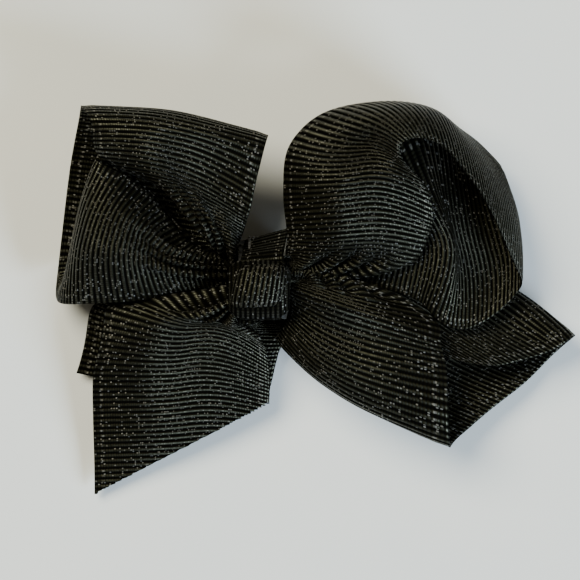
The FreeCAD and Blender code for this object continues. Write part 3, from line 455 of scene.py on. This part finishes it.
class Nodes:
    """Short way to build a material's node tree."""

    def __init__(self, name):
        self.material = bpy.data.materials.new(name)
        self.material.use_nodes = True
        self.tree = self.material.node_tree
        self.shader = self.tree.nodes["Principled BSDF"]

    def add(self, kind, **settings):
        node = self.tree.nodes.new(kind)
        for key, value in settings.items():
            setattr(node, key, value)
        return node

    def link(self, source, target):
        self.tree.links.new(source, target)

    def math(self, operation, first, second=0.0, third=None):
        node = self.add("ShaderNodeMath", operation=operation)
        for socket, value in zip(node.inputs, (first, second, third)):
            if value is None:
                continue
            if isinstance(value, (int, float)):
                socket.default_value = value
            else:
                self.link(value, socket)
        return node.outputs[0]

    def mix(self, factor, first, second):
        node = self.add("ShaderNodeMix", data_type="RGBA")
        for socket, value in zip((node.inputs[0], node.inputs[6], node.inputs[7]), (factor, first, second)):
            if isinstance(value, (int, float)):
                socket.default_value = value
            elif isinstance(value, tuple):
                socket.default_value = value + (1.0,)
            else:
                self.link(value, socket)
        return node.outputs[2]

    def places(self):
        """The object's own coordinates."""
        return self.add("ShaderNodeTexCoord").outputs["Object"]

    def cloud(self, places, scale, detail=2.0):
        """Soft noise from 0 to 1."""
        node = self.add("ShaderNodeTexNoise")
        node.inputs["Scale"].default_value = scale
        node.inputs["Detail"].default_value = detail
        self.link(places, node.inputs["Vector"])
        return node.outputs["Fac"]

    def bump(self, height, strength, distance):
        """Raise the shader's surface by a height pattern."""
        node = self.add("ShaderNodeBump")
        node.inputs["Strength"].default_value = strength
        node.inputs["Distance"].default_value = distance
        self.link(height, node.inputs["Height"])
        self.link(node.outputs[0], self.shader.inputs["Normal"])

    def set(self, socket, value):
        """Set one of the shader's sockets, to a constant or to a pattern."""
        if isinstance(value, bpy.types.NodeSocket):
            self.link(value, self.shader.inputs[socket])
        else:
            self.shader.inputs[socket].default_value = value


def glitter_material(name, width, fleck_share, sheen=THREAD_SHEEN):
    """Black ribbed ribbon with a bright metal thread: beaded cords, faint flecks and edge dots."""
    nodes = Nodes(name)
    weave = nodes.add("ShaderNodeUVMap", uv_map="weave")
    split = nodes.add("ShaderNodeSeparateXYZ")
    nodes.link(weave.outputs[0], split.inputs[0])
    across, ribs = split.outputs[0], split.outputs[1]
    beads = nodes.math("DIVIDE", across, BEAD_PITCH)
    fleck_rows = nodes.math("MULTIPLY", ribs, FLECKS_PER_RIB)

    def hump(count):
        """A rounded hump from 0 to 1 and back for each whole step of a count."""
        return nodes.math("SINE", nodes.math("MULTIPLY", nodes.math("FRACT", count), math.pi))

    bead_bump = hump(beads)
    rib_bump = hump(ribs)

    cell = nodes.add("ShaderNodeCombineXYZ")
    nodes.link(nodes.math("FLOOR", beads), cell.inputs[0])
    nodes.link(nodes.math("FLOOR", fleck_rows), cell.inputs[1])
    noise = nodes.add("ShaderNodeTexWhiteNoise", noise_dimensions="3D")
    nodes.link(cell.outputs[0], noise.inputs["Vector"])
    chance = nodes.add("ShaderNodeSeparateColor")
    nodes.link(noise.outputs["Color"], chance.inputs[0])
    fleck_chance, dot_chance, tone_chance = chance.outputs

    dot = nodes.math("GREATER_THAN", nodes.math("MULTIPLY", bead_bump, hump(fleck_rows)), FLECK_EDGE)
    fleck = nodes.math("GREATER_THAN", noise.outputs["Value"], 1.0 - fleck_share)
    fleck = nodes.math("MULTIPLY", fleck, dot)
    fleck = nodes.math("MULTIPLY", fleck, nodes.math("POWER", fleck_chance, FLECK_CONTRAST))
    fleck = nodes.math("MULTIPLY", fleck, FLECK_STRENGTH)

    edge = nodes.math("ADD", nodes.math("COMPARE", across, EDGE_DOTS, EDGE_DOT_REACH),
                      nodes.math("COMPARE", across, width - EDGE_DOTS, EDGE_DOT_REACH))
    edge_dot = nodes.math("MULTIPLY", edge, nodes.math("GREATER_THAN", rib_bump, EDGE_DOT_CREST))
    edge_dot = nodes.math("MULTIPLY", edge_dot, nodes.math("POWER", dot_chance, EDGE_DOT_CONTRAST))
    bright = nodes.math("MAXIMUM", fleck, nodes.math("MULTIPLY", edge_dot, EDGE_DOT_STRENGTH))

    thread = nodes.mix(tone_chance, THREAD_GOLD, THREAD_SILVER)
    yarn = nodes.mix(nodes.cloud(nodes.places(), scale=70.0), YARN_BLACK, YARN_OLIVE)
    # Painted shade: the base colour goes from the yarn colour on the cord and bead tops to near black in the
    # grooves between them.
    cord = nodes.mix(nodes.math("MULTIPLY", rib_bump, bead_bump), GROOVE_SHADE_BLACK, yarn)
    nodes.set("Base Color", nodes.mix(bright, cord, thread))
    nodes.set("Metallic", nodes.math("MULTIPLY", bright, 0.7))
    nodes.set("Roughness", nodes.math("MULTIPLY_ADD", bright, -0.1, 0.36))

    # Only the cords' crests shine, a little more on some beads than on others.
    crest = nodes.math("MULTIPLY", nodes.math("POWER", rib_bump, CREST_SHARPNESS),
                       nodes.math("MULTIPLY_ADD", bead_bump, 0.5, 0.5))
    crest = nodes.math("MULTIPLY", crest, nodes.math("MULTIPLY_ADD", dot_chance, 0.7, 0.65))
    nodes.set("Specular IOR Level", nodes.math("MULTIPLY", crest, sheen))
    nodes.set("Specular Tint", THREAD_TINT)

    grain = nodes.math("MULTIPLY", noise.outputs["Value"], 0.5)
    nodes.bump(nodes.math("MULTIPLY_ADD", bead_bump, 0.6, grain), strength=0.7, distance=0.00012)
    return nodes.material


def metal_material(name, colour, roughness, grain):
    """Plated steel with a fine rolled grain along X and faint handling marks."""
    nodes = Nodes(name)
    places = nodes.places()
    stretch = nodes.add("ShaderNodeMapping")
    stretch.inputs["Scale"].default_value = (grain * 0.05, grain, grain)
    nodes.link(places, stretch.inputs["Vector"])
    lines = nodes.cloud(stretch.outputs[0], scale=1.0, detail=6.0)
    marks = nodes.cloud(places, scale=260.0)
    dark = tuple(channel * 0.72 for channel in colour)
    nodes.set("Base Color", nodes.mix(lines, dark, colour))
    nodes.set("Roughness", nodes.math("MULTIPLY_ADD", marks, 0.25, roughness - 0.1))
    nodes.set("Metallic", 1.0)
    nodes.bump(lines, strength=0.25, distance=0.00004)
    return nodes.material


def woven_material(name, colour, direction, pitch):
    """Plain black woven stuff: thread, lining and pleats, with a fine ridge across it."""
    nodes = Nodes(name)
    places = nodes.places()
    split = nodes.add("ShaderNodeSeparateXYZ")
    nodes.link(places, split.inputs[0])
    turns = nodes.math("MULTIPLY", split.outputs[direction], 2 * math.pi / (pitch * MM))
    ridge = nodes.math("MULTIPLY_ADD", nodes.math("SINE", turns), 0.5, 0.5)
    fuzz = nodes.cloud(places, scale=3000.0, detail=3.0)
    # Painted highlight and shade: the base colour turns lighter on the ridge tops, more where the fuzz is
    # high, and stays dark in the hollows between ridges.
    light = tuple(channel * 2.4 + 0.004 for channel in colour)
    nodes.set("Base Color", nodes.mix(nodes.math("MULTIPLY", ridge, fuzz), colour, light))
    nodes.set("Roughness", 0.72)
    nodes.set("Sheen Weight", 0.3)
    height = nodes.math("ADD", ridge, nodes.math("MULTIPLY", fuzz, 0.4))
    nodes.bump(height, strength=0.8, distance=0.00015)
    return nodes.material


def glue_material():
    """Set hot-melt glue: cloudy, soft-looking and slightly glossy."""
    nodes = Nodes("set_glue")
    cloud = nodes.cloud(nodes.places(), scale=450.0)
    nodes.set("Base Color", nodes.mix(cloud, (0.55, 0.50, 0.38), (0.80, 0.77, 0.66)))
    nodes.set("Roughness", 0.35)
    nodes.set("Subsurface Weight", 0.3)
    nodes.set("Subsurface Scale", 0.001)
    nodes.bump(cloud, strength=0.4, distance=0.0003)
    return nodes.material


def floor_material():
    """Pale cloth with a faint cloudiness."""
    nodes = Nodes("pale_cloth")
    cloud = nodes.cloud(nodes.places(), scale=26.0)
    nodes.set("Base Color", nodes.mix(cloud, (0.60, 0.64, 0.64), (0.68, 0.69, 0.66)))
    nodes.set("Roughness", 0.9)
    return nodes.material


def place_ribbon(name, node, ribs, material, **shape):
    """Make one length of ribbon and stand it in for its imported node."""
    ribbon, length, area = ribbon_mesh(name, ribs, material, **shape)
    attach(ribbon, "bow")
    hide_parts(node)
    return ribbon, length, area


def make_wide_ribbons():
    """The three loops and the two tails."""
    wide = glitter_material("glitter_ribbon", WIDE_RIBBON, WIDE_FLECKS)
    for name, ribs, cut in (
        ("left_loop", LEFT_LOOP_RIBS, None),
        ("right_loop", RIGHT_LOOP_RIBS, None),
        ("lower_loop", LOWER_LOOP_RIBS, None),
        ("front_tail", FRONT_TAIL_RIBS, FRONT_TAIL_CUT),
        ("rear_tail", REAR_TAIL_RIBS, None),
    ):
        is_loop = name.endswith("loop")
        ribbon, length, _ = place_ribbon(name + "_ribbon", name, ribs, wide, cut=cut, loop=is_loop)


def knot_inner_ribs():
    """Ribs of the knot's inner turn: arcs over the middle, drawn in at its two ends."""
    ribs = []
    for x, size in KNOT_INNER_STATIONS:
        ribs.append([
            (x, KNOT_INNER_CENTRE + (y - KNOT_INNER_CENTRE) * size, KNOT_INNER_Z + z * size)
            for y, z in KNOT_INNER_ARC
        ])
    return ribs


def band_ribs():
    """Ribs of the band: each runs across it, and the upper arm leans to the right."""
    ribs = []
    for y, z in BAND_PATH:
        lean = min(max((y - BAND_LEAN_START) / BAND_LEAN_RUN, 0.0), 1.0)
        across = np.linspace(BAND_ENDS[0], BAND_ENDS[1], BAND_RIB_POINTS)
        across = across + BAND_SHIFT * lean * BAND_LEAN_RUN
        ribs.append([(x, y + BAND_SKEW * lean * (x - BAND_ENDS[1]), z) for x in across])
    return ribs


def make_middle():
    """The knot's two turns and the band, in the narrow ribbon."""
    narrow = glitter_material("narrow_ribbon", NARROW_RIBBON, KNOT_FLECKS)
    # Painted shade: the knot's inner turn and the band use a duller copy of the same narrow ribbon, with
    # fewer flecks and weaker shine, so they read darker.
    shaded_side = glitter_material("narrow_ribbon_shaded_side", NARROW_RIBBON, SHADED_SIDE_FLECKS, sheen=SHADED_SIDE_SHEEN)
    for name, node, ribs, material, relief in (
        ("knot_outer_turn", "centre_knot", KNOT_OUTER_RIBS, narrow, 1.0),
        ("knot_inner_turn", "centre_knot", knot_inner_ribs(), shaded_side, SIDE_TURN_RELIEF),
        ("band_ribbon", "centre_band", band_ribs(), shaded_side, SIDE_TURN_RELIEF),
    ):
        ribbon, _, area = place_ribbon(name, node, ribs, material, width=NARROW_RIBBON,
                                       pitch=NARROW_PITCH, gathered=False, relief=relief)


def dress_node(name, material):
    """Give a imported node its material."""
    part = bpy.data.objects[name]
    part.data.materials.clear()
    part.data.materials.append(material)


def make_spring(material):
    """The torsion spring: a copy of the imported spring with the wire material, set in place of it."""
    spring = bpy.data.objects.new("torsion_spring", bpy.data.objects["spring"].data.copy())
    bpy.context.scene.collection.objects.link(spring)
    spring.data.materials.clear()
    spring.data.materials.append(material)
    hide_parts("spring")
    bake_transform(spring)


def make_clip():
    """Materials for the clip and for what holds the bow to it."""
    steel = metal_material("plated_steel", (0.62, 0.62, 0.63), roughness=0.34, grain=9000.0)
    wire = metal_material("spring_wire", (0.50, 0.50, 0.52), roughness=0.30, grain=12000.0)
    lining = woven_material("lining_ribbon", (0.006, 0.006, 0.006), direction=0, pitch=0.95)
    thread = woven_material("cinch_thread", (0.008, 0.008, 0.008), direction=1, pitch=0.4)
    pleats = woven_material("pleats", (0.004, 0.004, 0.004), direction=1, pitch=1.1)
    dress_node("upper_jaw", steel)
    dress_node("lower_jaw", steel)
    dress_node("hinge_pin", wire)
    make_spring(wire)
    dress_node("clip_lining", lining)
    dress_node("cinch_thread", thread)
    dress_node("gathered_core", pleats)
    dress_node("glue_pad", glue_material())


def make_camera():
    """A camera straight above the bow."""
    camera = bpy.data.objects.new("camera", bpy.data.cameras.new("camera"))
    bpy.context.scene.collection.objects.link(camera)
    camera.location = (VIEW_CENTRE[0] * MM, VIEW_CENTRE[1] * MM, CAMERA_HEIGHT)
    camera.data.angle = 2 * math.atan(VIEW_WIDTH * MM / 2 / (CAMERA_HEIGHT - FOCUS_HEIGHT))
    camera.data.clip_start = NEAR_CLIP
    bpy.context.scene.camera = camera


def area_light(name, place, size, power, colour):
    """A round soft light, turned towards the bow."""
    light = bpy.data.lights.new(name, "AREA")
    light.shape = "DISK"
    light.size = size
    light.energy = power
    light.color = colour
    lamp = bpy.data.objects.new(name, light)
    bpy.context.scene.collection.objects.link(lamp)
    lamp.location = place
    lamp.rotation_euler = (-lamp.location).to_track_quat("-Z", "Y").to_euler()


def make_studio():
    """Pale floor, a cool window, a warm lamp and a warm room."""
    corners = [(-1, -1), (1, -1), (1, 1), (-1, 1)]
    floor_mesh = bpy.data.meshes.new("floor")
    floor_mesh.from_pydata([(x * FLOOR_REACH, y * FLOOR_REACH, 0) for x, y in corners], [], [(0, 1, 2, 3)])
    floor_mesh.materials.append(floor_material())
    floor = bpy.data.objects.new("floor", floor_mesh)
    bpy.context.scene.collection.objects.link(floor)
    floor.location.z = -FLOOR_GAP
    area_light("window", (0.78, -0.66, 0.50), size=0.55, power=32.0, colour=(0.70, 0.84, 1.0))
    area_light("lamp", (-0.42, 0.40, 0.72), size=0.60, power=16.0, colour=(1.0, 0.93, 0.74))
    world = bpy.data.worlds.new("room")
    world.use_nodes = True
    background = world.node_tree.nodes["Background"]
    background.inputs["Color"].default_value = (1.0, 0.88, 0.66, 1.0)
    background.inputs["Strength"].default_value = 0.16
    bpy.context.scene.world = world


make_camera()
make_wide_ribbons()
make_middle()
make_clip()
make_studio()
